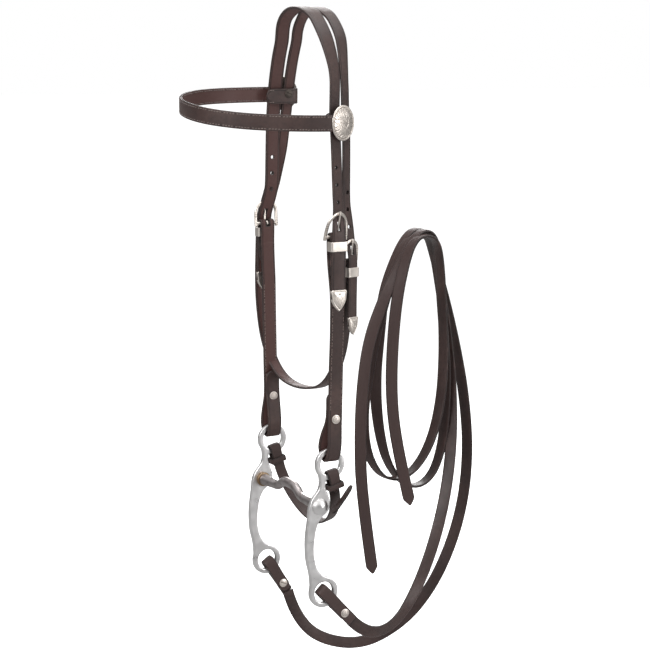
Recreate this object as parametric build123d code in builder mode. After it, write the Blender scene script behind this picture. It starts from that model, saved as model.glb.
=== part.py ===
from build123d import *
import math
import os

# Western curb-bit bridle: a split-crown headstall, a loose-mouth curb bit, a curb strap and split reins.
# Millimetres. +Z is up, +X points to the rear of the horse's head and +Y to its off (right) side.
# The origin is on the underside of the crown, where the bridle hangs from its hook.
# "out" is the distance from the middle plane (Y = 0), measured towards either side.
# Heights below are written from a level LIFT above the crown's underside, and save() moves every piece up by LIFT.

os.makedirs("parts", exist_ok=True)

# Driving dimensions
LIFT = 7.0
STRAP = 16.0  # headstall leather, 5/8 inch wide
LEATHER = 3.2
THROAT = 12.7  # throat latch, curb strap and reins, 1/2 inch wide
FOLD_LEATHER = 2.6  # skived thickness where a strap folds round a buckle bar
SCREW_R = 2.5
FRONT_X = -2.0  # middle of the crown's front branch and of the cheekpieces
REAR_X = 18.2  # middle of the crown's rear branch and of the throat latch
CONCHO_X = 8.5
CONCHO_R = 17.5
CHEEK_OUT = 66.0  # middle plane of each bit cheek
CHEEK_THICK = 5.0
EYE = (-2.0, -462.0)  # X, Z of the bit's upper rings
MOUTH = (-14.0, -505.0)
RING = (-9.5, -595.5)  # X, Z of the bit's rein rings
EYE_R, EYE_HOLE = 16.5, 11.2
RING_R, RING_HOLE = 16.2, 10.8
PIN_R = 5.0  # ends of the mouthpiece, turning in the cheeks
PIN_GAP = 0.1
BAR_R = 1.6  # buckle bars
REIN_TUBE = 7.2  # diameter with the cross-section area of the 12.7 x 3.2 mm rein
LOOP_ANGLE = {"near": -47.0, "far": -53.0}  # direction in which each rein leaves its ring
CURB_ANGLE = -74.0  # direction in which the curb strap leaves the upper rings
SIDES = {"near": -1, "far": 1}


def side_plane(side, x):
    """A plane across the bridle: local x is the distance out, local y is Z."""
    return Plane(origin=(x, 0, 0), x_dir=(0, side, 0), z_dir=(side, 0, 0))


def flat_plane(side, out):
    """A plane along the head: local x is X, local y is Z."""
    return Plane(origin=(0, side * out, 0), x_dir=(1, 0, 0), z_dir=(0, -1, 0))


def band(points, thickness):
    """The closed outline of a strap of this thickness along a line of points."""
    pts = [Vector(*p) for p in points]
    left, right = [], []
    for i, p in enumerate(pts):
        before = (p - pts[i - 1]).normalized() if i else None
        after = (pts[i + 1] - p).normalized() if i < len(pts) - 1 else None
        along = ((before or after) + (after or before)).normalized()
        across = Vector(-along.Y, along.X)
        half = thickness / 2 / along.dot(after or before)
        left.append(p + across * half)
        right.append(p - across * half)
    return [(v.X, v.Y) for v in left + right[::-1]]


def arc_points(centre, radius, start, end, steps):
    """Points on a circle, from the start angle to the end angle in degrees."""
    angles = [math.radians(start + (end - start) * i / steps) for i in range(steps + 1)]
    return [(centre[0] + radius * math.cos(a), centre[1] + radius * math.sin(a)) for a in angles]


def polar(centre, radius, angle):
    """The X, Z point at this radius and angle round a centre."""
    return arc_points(centre, radius, angle, angle, 1)[0]


def dome_outline(radius, rim, rise, side):
    """Half the section of a disc with a spherical top, beside its axis, for a face that is revolved."""
    sphere = (radius**2 + rise**2) / (2 * rise)
    middle = rim + rise - sphere + math.sqrt(sphere**2 - (radius / 2) ** 2)
    Polyline((0, side * (rim + rise)), (0, 0), (radius, 0), (radius, side * rim))
    ThreePointArc((radius, side * rim), (radius / 2, side * middle), (0, side * (rim + rise)))


def save(part, name):
    part = part.moved(Location((0, 0, LIFT)))
    part.label = name
    export_step(part, f"parts/{name}.step")


# Buckle sets. bar: out and Z of the bar that the strap folds round. frame_r: radius of the frame's arch.
BUCKLES = {
    "cheek": {"x": FRONT_X, "width": STRAP, "bar": (77.0, -229.5), "frame_r": 13.5, "arch_z": -218.5,
              "above": 73.2, "below": 83.4, "tip_z": -282.0, "tip_long": 21.0, "keeper_z": -238.9},
    "throat": {"x": REAR_X, "width": THROAT, "bar": (73.0, -257.0), "frame_r": 10.4, "arch_z": -243.8,
               "above": 69.2, "below": 79.4, "tip_z": -311.0, "tip_long": 18.0, "keeper_z": -266.0},
}
FRAME_BAND = 3.0
KEEPER_HIGH = 9.6
KEEPER_THICK = 1.1
TONGUE_THICK = 2.2
FOLD_R = BAR_R + 0.3 + FOLD_LEATHER / 2  # middle of the leather round a bar
SETS = [("cheek", "near"), ("cheek", "far"), ("throat", "near")]

# The crown's arch over the poll, out and Z of its middle layer, down to where the branches hang straight.
TOP = [(-7, LEATHER / 2 - LIFT), (7, LEATHER / 2 - LIFT)]  # the flat stretch that rests on the hanger
ARCH = [(19, -8), (34.5, -19), (48.5, -38.5), (58.5, -62), (66, -92), (71, -126)]


def bend_z(b):
    """Where a billet turns outwards, just below the inside corners of its frame's arch."""
    return b["arch_z"] + math.sqrt((b["frame_r"] - FRAME_BAND) ** 2 - (b["width"] / 2) ** 2) - 1.4


def billet(kind):
    """Out and Z down a crown branch, through its buckle and to its end inside the metal tip."""
    b = BUCKLES[kind]
    return ARCH + [(b["above"], -160), (b["above"], bend_z(b)), (b["below"], b["bar"][1] + 5),
                   (b["below"], b["tip_z"] - 8)]


def mirrored(points):
    return [(-out, z) for out, z in reversed(points)]


# Crown: one piece of leather, whole over the poll and split into two branches on each side
far_rear = ARCH + [(73.6, -160), (73.6, -232)]
with BuildPart() as crown:
    with BuildSketch(side_plane(-1, FRONT_X)):
        with BuildLine():
            Polyline(*band(mirrored(billet("cheek")) + TOP + billet("cheek"), LEATHER),
                     close=True)
        make_face()
    extrude(amount=STRAP / 2, both=True)
    with BuildSketch(side_plane(-1, REAR_X)):
        with BuildLine():
            Polyline(*band(mirrored(far_rear) + TOP + billet("throat"), LEATHER), close=True)
        make_face()
    extrude(amount=THROAT / 2, both=True)
    bridge_x = (FRONT_X - STRAP / 2 + REAR_X + THROAT / 2) / 2
    with BuildSketch(side_plane(-1, bridge_x)):
        with BuildLine():
            Polyline(*band(mirrored(ARCH[:2]) + TOP + ARCH[:2], LEATHER), close=True)
        make_face()
    extrude(amount=(REAR_X + THROAT / 2 - FRONT_X + STRAP / 2) / 2, both=True)
    for kind, side_name in SETS:
        b, side = BUCKLES[kind], SIDES[side_name]
        slot_top = bend_z(b) - 1
        slot_end = b["bar"][1] + 1
        with Locations((b["x"], side * 78, (slot_top + slot_end) / 2)):
            Box(4.4, 20, slot_top - slot_end, mode=Mode.SUBTRACT)
        for hole in range(3):
            with Locations((b["x"], side * 74, b["arch_z"] + b["frame_r"] + 12 + 17 * hole)):
                Cylinder(2, 14, rotation=(90, 0, 0), mode=Mode.SUBTRACT)
    with Locations((REAR_X, 74, -203)):
        Cylinder(SCREW_R + 0.1, 14, rotation=(90, 0, 0), mode=Mode.SUBTRACT)
save(crown.part, "crown")

# Cheekpieces: folded round the buckle bar above and through the bit's eye below
for name, side in SIDES.items():
    bar = BUCKLES["cheek"]["bar"]
    fold_low = EYE[1] + math.sqrt(EYE_HOLE**2 - (STRAP / 2) ** 2) - 1.7 - LEATHER / 2
    top_fold = ([(78.6, bar[1] - 30), (bar[0] + FOLD_R, bar[1] - 6)]
                + arc_points(bar, FOLD_R, 0, 180, 6) + [(bar[0] - FOLD_R, bar[1] - 6), (75.0, bar[1] - 30)])
    run = [(75.0, bar[1] - 30), (74.5, -320), (71.6, -385), (71.2, -420), (70.6, -446)]
    low_fold = [(70.6, fold_low + 4), (69.0, fold_low + 0.8), (CHEEK_OUT, fold_low),
                (63.0, fold_low + 0.8), (61.4, fold_low + 4), (61.4, -446), (67.0, -424), (67.2, -388)]
    with BuildPart() as cheekpiece:
        with BuildSketch(side_plane(side, FRONT_X)):
            with BuildLine():
                Polyline(*band(top_fold, FOLD_LEATHER), close=True)
            make_face()
            with BuildLine():
                Polyline(*band(run + low_fold, LEATHER), close=True)
            make_face()
        extrude(amount=STRAP / 2, both=True)
        with Locations((FRONT_X, side * bar[0], bar[1] + 2)):
            Box(4.4, 12, 11, mode=Mode.SUBTRACT)
        with Locations((FRONT_X, side * 69, -415)):
            Cylinder(SCREW_R + 0.1, 14, rotation=(90, 0, 0), mode=Mode.SUBTRACT)
    save(cheekpiece.part, f"cheekpiece_{name}")

# Throat latch: from the near buckle under the throat to the far rear branch, outside it
with BuildPart() as throatlatch:
    bar = BUCKLES["throat"]["bar"]
    fold = ([(74.6, bar[1] - 26), (bar[0] + FOLD_R, bar[1] - 6)] + arc_points(bar, FOLD_R, 0, 180, 6)
            + [(bar[0] - FOLD_R, bar[1] - 6), (71.0, bar[1] - 26)])
    under = [(71.0, bar[1] - 26), (70, -315), (64, -343), (49, -368), (27, -386), (0, -393), (-30, -392),
             (-55, -385), (-76, -368), (-90, -343), (-97, -315), (-99, -290), (-96, -264), (-88, -243),
             (-79, -228), (-77.1, -215), (-77.1, -190)]
    with BuildSketch(side_plane(-1, REAR_X)):
        with BuildLine():
            Polyline(*band(fold, FOLD_LEATHER), close=True)
        make_face()
        with BuildLine():
            Polyline(*band(under, LEATHER - 0.4), close=True)
        make_face()
    extrude(amount=THROAT / 2, both=True)
    with Locations((REAR_X, -bar[0], bar[1] + 2)):
        Box(4.4, 12, 11, mode=Mode.SUBTRACT)
    with Locations((REAR_X, 77, -203)):
        Cylinder(SCREW_R + 0.1, 14, rotation=(90, 0, 0), mode=Mode.SUBTRACT)
save(throatlatch.part, "throatlatch")

# Browband: folded round both branches on each side, lower on the near side as it hangs
BROW_Z = {"near": -118.0, "far": -93.0}
BROW_OUT = {"near": (75.0, 64.8), "far": (70.8, 60.3)}  # outer and inner layer of each fold
BROW_TILT = math.degrees(math.atan2(BROW_Z["far"] - BROW_Z["near"], 2 * 76))
with BuildPart() as browband:
    for name, side in SIDES.items():
        outer, inner = BROW_OUT[name]
        loop = [(-30, outer), (27, outer), (30, outer - 1.5), (31, (outer + inner) / 2), (30, inner + 1.5),
                (27, inner), (-12, inner)]
        with BuildSketch(Plane.XY.offset(BROW_Z[name])):
            with BuildLine():
                Polyline(*band([(x, side * out) for x, out in loop], 3.0), close=True)
            make_face()
        extrude(amount=STRAP / 2, both=True)
    front = [(-24, -74.7), (-60, -69.5), (-92, -58.5), (-115, -40), (-127, -14), (-127, 14), (-115, 39),
             (-92, 57), (-60, 66.4), (-24, 70.6)]
    tilted = Plane(origin=(0, 0, (BROW_Z["near"] + BROW_Z["far"]) / 2), x_dir=(1, 0, 0)).rotated(
        (BROW_TILT, 0, 0))
    with BuildSketch(tilted):
        with BuildLine():
            Polyline(*band(front, 3.0), close=True)
        make_face()
    extrude(amount=STRAP / 2, both=True)
    for name, side in SIDES.items():
        with Locations((CONCHO_X, side * 69, BROW_Z[name])):
            Cylinder(SCREW_R + 0.1, 30, rotation=(90, 0, 0), mode=Mode.SUBTRACT)
save(browband.part, "browband")

# Conchos: domed discs on the browband's ends, each with its screw post and back cap
for name, side in SIDES.items():
    outer, inner = BROW_OUT[name]
    back = outer + 1.8
    with BuildPart() as concho:
        with BuildSketch(Plane(origin=(CONCHO_X, side * back, BROW_Z[name]), x_dir=(1, 0, 0),
                               z_dir=(0, 0, 1))):
            with BuildLine():
                dome_outline(CONCHO_R, 1.2, 4.0, side)
            make_face()
        revolve(axis=Axis((CONCHO_X, 0, BROW_Z[name]), (0, 1, 0)))
    save(concho.part, f"concho_{name}")
    cap = inner - 1.7
    with BuildPart() as concho_screw:
        with BuildSketch(flat_plane(side, back)):
            with Locations((CONCHO_X, BROW_Z[name])):
                Circle(1.8)
        extrude(amount=side * (back - cap))
        with BuildSketch(flat_plane(side, cap)):
            with Locations((CONCHO_X, BROW_Z[name])):
                Circle(4.5)
        extrude(amount=side * 1.5)
    save(concho_screw.part, f"concho_screw_{name}")

# Buckle sets: frame with its bar, tongue, keeper and tip
for kind, side_name in SETS:
    b, side = BUCKLES[kind], SIDES[side_name]
    x, bar_out, bar_z, r = b["x"], b["bar"][0], b["bar"][1], b["frame_r"]
    label = f"{kind}_{{}}_{side_name}"
    with BuildPart() as frame:
        with BuildSketch(flat_plane(side, bar_out)):
            with Locations((x, b["arch_z"])):
                Circle(r)
            with Locations((x, (b["arch_z"] + bar_z - 2) / 2)):
                Rectangle(2 * r, b["arch_z"] - bar_z + 2)
            with Locations((x, b["arch_z"])):
                Circle(r - FRAME_BAND, mode=Mode.SUBTRACT)
            with Locations((x, (b["arch_z"] + bar_z - 4) / 2)):
                Rectangle(2 * (r - FRAME_BAND), b["arch_z"] - bar_z + 4, mode=Mode.SUBTRACT)
        extrude(amount=1.5, both=True)
        with Locations((x, side * bar_out, bar_z)):
            Cylinder(BAR_R, 2 * r - 2, rotation=(0, 90, 0))
    save(frame.part, label.format("buckle"))
    with BuildPart() as tongue:
        with BuildSketch(side_plane(side, x)):
            with Locations(b["bar"]):
                Circle(BAR_R + 1.9)
            with BuildLine():
                rest = bar_out + 1.5 + 0.3 + TONGUE_THICK / 2
                Polyline(*band([(bar_out + 2.4, bar_z), (rest, bar_z + 14), (rest, b["arch_z"] + r + 1)],
                               TONGUE_THICK), close=True)
            make_face()
            with Locations(b["bar"]):
                Circle(BAR_R + 0.1, mode=Mode.SUBTRACT)
        extrude(amount=1.2, both=True)
    save(tongue.part, label.format("tongue"))
    with BuildPart() as keeper:
        with BuildSketch(Plane.XY.offset(b["keeper_z"])):
            low, high = bar_out + 0.3, b["below"] + LEATHER / 2 + 0.3
            with Locations((x, side * (low + high) / 2)):
                Rectangle(b["width"] + 0.8 + 2 * KEEPER_THICK, high - low + 2 * KEEPER_THICK)
                Rectangle(b["width"] + 0.8, high - low, mode=Mode.SUBTRACT)
        extrude(amount=KEEPER_HIGH / 2, both=True)
    save(keeper.part, label.format("keeper"))
    with BuildPart() as tip:
        half, long = b["width"] / 2 + 0.9, b["tip_long"]
        with BuildSketch(flat_plane(side, b["below"])):
            with BuildLine():
                Polyline((x - half, b["tip_z"] - 9), (x - half, b["tip_z"]), (x + half, b["tip_z"]),
                         (x + half, b["tip_z"] - 9))
                ThreePointArc((x + half, b["tip_z"] - 9), (x + half * 0.62, b["tip_z"] - long * 0.74),
                              (x, b["tip_z"] - long))
                ThreePointArc((x, b["tip_z"] - long), (x - half * 0.62, b["tip_z"] - long * 0.74),
                              (x - half, b["tip_z"] - 9))
            make_face()
        extrude(amount=LEATHER / 2 + 1, both=True)
        with Locations((x, side * b["below"], b["tip_z"] - 4)):
            Box(b["width"] + 0.2, LEATHER + 0.2, 8.2, mode=Mode.SUBTRACT)
    save(tip.part, label.format("tip"))

# Chicago screws through the folded cheekpieces and the throat latch's far lap
SCREW_HEAD_R, SCREW_HEAD = 4.6, 1.6
for label, x, z, side, low, high in (
    ("cheek_screw_near", FRONT_X, -415, -1, 65.3, 73.2), ("cheek_screw_far", FRONT_X, -415, 1, 65.3, 73.2),
    ("throat_screw_far", REAR_X, -203, 1, 71.8, 78.8)):
    with BuildPart() as screw:
        with BuildSketch(flat_plane(side, low)):
            with Locations((x, z)):
                Circle(SCREW_R)
        extrude(amount=-side * (high - low))
        with BuildSketch(flat_plane(side, low)):
            with Locations((x, z)):
                Circle(SCREW_HEAD_R)
        extrude(amount=side * SCREW_HEAD)
        with BuildSketch(flat_plane(side, high)):
            with Locations((x, z)):
                Circle(SCREW_HEAD_R)
        extrude(amount=-side * SCREW_HEAD)
    save(screw.part, label)

# Bit cheeks: an eye for the headstall, a boss for the mouthpiece, and a rein ring below.
# The two edges of the shank, as X, Z from the middle of the mouth boss.
FRONT_EDGE = [(-1.2, 34), (0.2, 26), (-1.1, 18), (-6.2, 11.5), (-10.4, 5), (-12.0, 0), (-13.2, -10),
              (-14.6, -20), (-16, -33), (-16, -46), (-14.6, -58), (-12.6, -66), (-11.2, -74), (-11.4, -90)]
REAR_EDGE = [(16, -79), (9, -75.2), (1.6, -70.5), (-3.2, -64), (-5.6, -56), (-6.8, -45), (-5.8, -33),
             (-3.2, -21), (2.6, -11.5), (9.0, -6.5), (11.8, 0), (11.2, 6.5), (8.6, 14), (6.4, 20),
             (7.2, 26), (10.5, 34)]


def from_mouth(points):
    return [(MOUTH[0] + x, MOUTH[1] + z) for x, z in points]


for name, side in SIDES.items():
    with BuildPart() as bit_cheek:
        with BuildSketch(flat_plane(side, CHEEK_OUT)):
            with BuildLine():
                front_edge = Spline(*from_mouth(FRONT_EDGE))
                rear_edge = Spline(*from_mouth(REAR_EDGE))
                Line(front_edge @ 1, rear_edge @ 0)
                Line(rear_edge @ 1, front_edge @ 0)
            make_face()
            with Locations(EYE):
                Circle(EYE_R)
            with Locations(RING):
                Circle(RING_R)
            with Locations(EYE):
                Circle(EYE_HOLE, mode=Mode.SUBTRACT)
            with Locations(RING):
                Circle(RING_HOLE, mode=Mode.SUBTRACT)
            with Locations(MOUTH):
                Circle(PIN_R + PIN_GAP, mode=Mode.SUBTRACT)
        extrude(amount=CHEEK_THICK / 2, both=True)
    save(bit_cheek.part, f"bit_cheek_{name}")

# Mouthpiece: a bar with a low port, and a domed head outside each cheek
head = CHEEK_OUT + CHEEK_THICK / 2 + 0.3
with BuildPart() as mouthpiece:
    with BuildLine(Plane(origin=(MOUTH[0], 0, MOUTH[1]), x_dir=(0, 1, 0), z_dir=(1, 0, 0))):
        FilletPolyline((-head - 1, 0), (-25, 0), (-14, 9.2), (14, 9.2), (25, 0), (head + 1, 0), radius=8)
    with BuildSketch(Plane(origin=(MOUTH[0], -head - 1, MOUTH[1]), z_dir=(0, 1, 0))):
        Circle(PIN_R)
    sweep()
    for side in SIDES.values():
        with BuildSketch(Plane(origin=(MOUTH[0], side * head, MOUTH[1]), x_dir=(1, 0, 0), z_dir=(0, 0, 1))):
            with BuildLine():
                dome_outline(8.4, 1.0, 3.4, side)
            make_face()
        revolve(axis=Axis((MOUTH[0], 0, MOUTH[1]), (0, 1, 0)))
        with BuildSketch(Plane(origin=(MOUTH[0], side * (CHEEK_OUT - CHEEK_THICK / 2 - 0.3), MOUTH[1]),
                               z_dir=(0, -side, 0))):
            Circle(7.6)
        extrude(amount=3)
save(mouthpiece.part, "mouthpiece")


def ring_plane(centre, angle, side):
    """A plane through a ring's middle: local x is radial at this angle in the head's plane, local y is out."""
    a = math.radians(angle)
    radial = Vector(math.cos(a), 0, math.sin(a))
    return Plane(origin=(centre[0], 0, centre[1]), x_dir=radial,
                 z_dir=radial.cross(Vector(0, side, 0)))


def loop_radius(hole, width):
    """How far from a ring's middle a strap of this width lies in its hole."""
    return math.sqrt(hole**2 - (width / 2) ** 2) - 0.5


# Curb strap: looped round both eyes of the bit, hanging behind the chin, with a leather keeper each side
CURB_THICK = 2.4
CURB_OUT = CHEEK_OUT + CHEEK_THICK / 2 + 0.5 + CURB_THICK / 2
CURB_IN = CHEEK_OUT - CHEEK_THICK / 2 - 0.5 - CURB_THICK / 2
inside = loop_radius(EYE_HOLE, THROAT - 0.7) - CURB_THICK / 2
half_curb = [(34, 66.6), (26, 67.4), (18, CURB_OUT), (inside + 1.5, CURB_OUT), (inside, CURB_OUT - 1.8),
             (inside, CURB_IN + 1.8), (inside + 1.5, CURB_IN), (18, CURB_IN), (27, 64.2), (38, 62), (52, 52),
             (64, 36), (71, 18)]
with BuildPart() as curb_strap:
    with BuildSketch(ring_plane(EYE, CURB_ANGLE, 1)):
        with BuildLine():
            other_half = [(r, -out) for r, out in reversed(half_curb)]
            Polyline(*band(half_curb + [(73, 0)] + other_half, CURB_THICK), close=True)
        make_face()
    extrude(amount=(THROAT - 0.7) / 2, both=True)
save(curb_strap.part, "curb_strap")
for name, side in SIDES.items():
    with BuildPart() as curb_keeper:
        with BuildSketch(ring_plane(EYE, CURB_ANGLE, side)):
            with BuildLine():
                Polyline((25.5, 60.6), (31.5, 59.2), (31.5, 69.7), (25.5, 70.2), close=True)
            make_face()
        extrude(amount=THROAT / 2 + 1.5, both=True)
        with BuildSketch(ring_plane(EYE, CURB_ANGLE, side)):
            with BuildLine():
                Polyline((20, 63.3), (40, 58.6), (40, 68.0), (20, 70.2), close=True)
            make_face()
        extrude(amount=THROAT / 2, both=True, mode=Mode.SUBTRACT)
    save(curb_keeper.part, f"curb_keeper_{name}")

# Rein ends: folded through the rein rings and held with a Chicago screw
REIN_END = 48.0  # from the middle of the ring
REIN_SCREW = 35.0
REIN_OUT = CHEEK_OUT + CHEEK_THICK / 2 + 0.5 + LEATHER / 2
REIN_IN = 2 * CHEEK_OUT - REIN_OUT
inside = loop_radius(RING_HOLE, THROAT) - LEATHER / 2
for name, side in SIDES.items():
    with BuildPart() as rein_loop:
        loop = [(REIN_END, CHEEK_OUT + 1.8), (27, CHEEK_OUT + 1.8), (18, REIN_OUT), (inside + 1.8, REIN_OUT),
                (inside, REIN_OUT - 2), (inside, REIN_IN + 2), (inside + 1.8, REIN_IN), (18, REIN_IN),
                (27, CHEEK_OUT - 1.8), (44, CHEEK_OUT - 1.8)]
        with BuildSketch(ring_plane(RING, LOOP_ANGLE[name], side)):
            with BuildLine():
                Polyline(*band(loop, LEATHER), close=True)
            make_face()
        extrude(amount=THROAT / 2, both=True)
        screw_x, screw_z = polar(RING, REIN_SCREW, LOOP_ANGLE[name])
        with Locations((screw_x, side * CHEEK_OUT, screw_z)):
            Cylinder(SCREW_R + 0.1, 14, rotation=(90, 0, 0), mode=Mode.SUBTRACT)
    save(rein_loop.part, f"rein_loop_{name}")
    with BuildPart() as rein_screw:
        with Locations((screw_x, side * CHEEK_OUT, screw_z)):
            Cylinder(SCREW_R, 8, rotation=(90, 0, 0))
        for face in (-1, 1):
            with Locations((screw_x, side * CHEEK_OUT + face * 4.4, screw_z)):
                Cylinder(SCREW_HEAD_R, 1.4, rotation=(90, 0, 0))
    save(rein_screw.part, f"rein_screw_{name}")

# Split reins: each rises from its ring, hangs twice over a hook and ends free in a point.
start = {name: polar(RING, REIN_END + 0.05, angle) for name, angle in LOOP_ANGLE.items()}
second = {name: polar(RING, REIN_END + 26, angle) for name, angle in LOOP_ANGLE.items()}
ROUTES = {
    "near": [
        (start["near"][0], -66, start["near"][1]), (second["near"][0], -66, second["near"][1]), (79, -56, -651),
        (113, -43, -625), (141, -33, -582), (164, -22, -530), (179, -11, -473), (185, 0, -412), (180, 3, -354),
        (172, 4, -306), (165, 4, -268), (156, 4, -246), (142, 4, -238), (129, 4, -246), (118, 4, -268), (105, 4, -300),
        (92, 4, -340), (82, 4, -386), (74, 2, -432), (77, -2, -475), (97, -6, -505), (128, -8, -502),
        (152, -9, -472), (165, -10, -425), (167, -12, -370), (164, -12, -314), (161, -12, -270),
        (154, -12, -247), (141, -12, -238), (128, -12, -246), (117, -12, -268), (107, -13, -306),
        (100, -16, -358), (98, -18, -413), (104, -21, -467), (119, -24, -530)],
    "far": [
        (start["far"][0], 66, start["far"][1]), (second["far"][0], 66, second["far"][1]), (60, 60, -688),
        (103, 49, -705), (148, 38, -684), (180, 31, -647), (203, 25, -597), (215, 19, -542), (216, 14, -484),
        (209, 12, -426), (197, 12, -368), (183, 12, -316), (171, 12, -273), (159, 12, -247), (143, 12, -238),
        (129, 12, -247), (117, 12, -270), (106, 12, -304), (100, 12, -348), (95, 12, -397), (97, 9, -447),
        (107, 5, -492), (131, 2, -520), (159, 0, -512), (173, -2, -474), (175, -4, -425), (173, -5, -370),
        (167, -5, -315), (162, -4, -271), (155, -4, -247), (142, -4, -239), (129, -4, -247), (116, -4, -270),
        (96, -4, -306), (79, -6, -350), (69, -8, -402), (64, -11, -457), (65, -14, -518), (77, -17, -602)],
}


def bend_radii(points):
    """One radius for each corner, as large as its two runs allow."""
    radii = []
    for before, here, after in zip(points, points[1:], points[2:]):
        first, second = Vector(*here) - Vector(*before), Vector(*after) - Vector(*here)
        turn = first.get_angle(second)
        radii.append(0.45 * min(first.length, second.length) / math.tan(math.radians(turn / 2)))
    return radii


for name, points in ROUTES.items():
    radii = bend_radii(points)
    with BuildPart() as rein:
        with BuildLine():
            route = FilletPolyline(*points, radius=radii)
        with BuildSketch(Plane(origin=route @ 0, z_dir=route % 0)):
            Circle(REIN_TUBE / 2)
        sweep()
    expected = math.pi * (REIN_TUBE / 2) ** 2 * route.length
    print(f"rein_{name}: {route.length:.0f} mm, volume share {rein.part.volume / expected:.4f}, radii",
          [round(r) for r in radii])
    save(rein.part, f"rein_{name}")
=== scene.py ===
"""Western curb-bit bridle: the looks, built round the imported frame. Points are written in millimetres."""

import math
import random

import bmesh
import bpy
import numpy as np
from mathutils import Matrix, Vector


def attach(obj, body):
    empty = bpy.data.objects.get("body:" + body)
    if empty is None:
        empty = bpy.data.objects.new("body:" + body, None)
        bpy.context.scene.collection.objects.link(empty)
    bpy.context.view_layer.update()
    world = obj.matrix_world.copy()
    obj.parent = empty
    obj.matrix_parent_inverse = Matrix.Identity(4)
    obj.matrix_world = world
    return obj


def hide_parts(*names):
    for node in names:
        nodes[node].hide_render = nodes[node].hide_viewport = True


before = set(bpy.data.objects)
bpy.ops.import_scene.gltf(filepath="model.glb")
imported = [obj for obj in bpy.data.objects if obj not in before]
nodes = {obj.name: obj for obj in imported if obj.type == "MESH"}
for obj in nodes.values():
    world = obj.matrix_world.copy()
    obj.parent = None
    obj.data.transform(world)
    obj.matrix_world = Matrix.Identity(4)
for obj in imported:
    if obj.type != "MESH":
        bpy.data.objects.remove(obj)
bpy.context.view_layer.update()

MM = 0.001
SIDES = {"near": -1, "far": 1}
STRAP, THROAT, LEATHER = 16.0, 12.7, 3.2
FRONT_X, REAR_X = -2.0, 18.2
EYE, MOUTH, RING = (-2.0, -462.0), (-14.0, -505.0), (-9.5, -595.5)
CHEEK_OUT = 66.0
LIFT = 7.0  # the points below are written from this far above the crown's underside
LOOP_ANGLE, CURB_ANGLE = {"near": -47.0, "far": -57.0}, -76.0
HANG = {"near": 3.4, "far": 1.8}  # how far each cheekpiece hangs to the rear of its buckle
TURN, SQUEEZE = 0.42, 0.078  # the near side's turn: mm outwards and mm forwards for each mm to the rear
FAR_IN, FAR_BACK = 4, 3.2  # how far the far side hangs inwards and to the rear
STITCH_ROWS, STITCH_PITCH, STITCH_SIZE = (-6.1, 6.1), 3.1, (1.05, 0.36, 0.28)
SCREW_R, POST_R = 4.6, 2.4
FLOOR_Z = -0.86


# ---------------------------------------------------------------- lines
def unit(v):
    return v / np.maximum(np.linalg.norm(v, axis=-1, keepdims=True), 1e-12)


def travelled(p):
    """The distance of each point from the line's start."""
    return np.r_[0, np.cumsum(np.linalg.norm(np.diff(p[:, :3], axis=0), axis=1))]


def resample(p, step):
    """Evenly spaced rows along a line; columns after the third go with it."""
    d = travelled(p)
    keep = np.r_[True, np.diff(d) > 1e-9]
    p, d = p[keep], d[keep]
    t = np.linspace(0, d[-1], max(2, round(d[-1] / step) + 1))
    return np.column_stack([np.interp(t, d, p[:, k]) for k in range(p.shape[1])])


def smooth(points, step=1.5, rounds=4):
    """A dense line that cuts the corners of these points."""
    p = np.array(points, float)
    for _ in range(rounds):
        cut = np.empty((2 * len(p) - 2, p.shape[1]))
        cut[0::2], cut[1::2] = p[:-1] * 0.75 + p[1:] * 0.25, p[:-1] * 0.25 + p[1:] * 0.75
        p = np.vstack([p[:1], cut, p[-1:]])
    return resample(p, step)


def arc(cx, cz, r, start, end, steps=8):
    a = np.radians(np.linspace(start, end, steps + 1))
    return [(cx + r * math.cos(k), cz + r * math.sin(k)) for k in a]


def in_ring(centre, angle, r, out, side, across=0.0):
    """The point at this radius and angle round a bit ring, moved across the strap that leaves it."""
    a = math.radians(angle)
    return (centre[0] + r * math.cos(a) - across * math.sin(a), side * out,
            centre[1] + r * math.sin(a) + across * math.cos(a))


def along_width(angle):
    """The way that the width lies of a strap that leaves a bit ring at this angle."""
    a = math.radians(angle)
    return np.array([-math.sin(a), 0, math.cos(a)])


def smoothstep(x, low, high):
    t = np.clip((x - low) / (high - low), 0, 1)
    return t * t * (3 - 2 * t)


def settle(points):
    """How the headstall hangs off its even layout: the near side turned to the rear, the far side inwards."""
    p = np.array(points, float).reshape(-1, 3)
    x, y, z = p.T
    near = smoothstep(-y, 30, 55) * smoothstep(-z, 25, 80) * (1 - smoothstep(-z, 196, 238))
    lever = np.clip(x - 6, -17, 30) * (1 - 0.9 * smoothstep(-x, 14, 90))
    low = smoothstep(-y, 30, 55) * smoothstep(-z, 205, 240) * (1 - smoothstep(-z, 325, 370))
    far = smoothstep(y, 18, 52) * smoothstep(-z, 8, 42) * (1 - smoothstep(-z, 186, 227))
    p[:, 1] += near * TURN * lever - far * FAR_IN + low * 0.32 * np.clip(x - 15, -4, 12)
    p[:, 0] += near * (0.8 - SQUEEZE * lever) + far * FAR_BACK * (1 - smoothstep(-x, 20, 70))
    p[:, 0] -= low * 0.06 * np.clip(x - 8, 0, 20)
    return p


# ---------------------------------------------------------------- pieces
def placed(points, body):
    """Points in metres in the shared frame."""
    if body == "headstall" or body.startswith("tongue"):
        points = settle(points)
    return (np.asarray(points, float) + (0, 0, LIFT)) * MM


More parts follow.
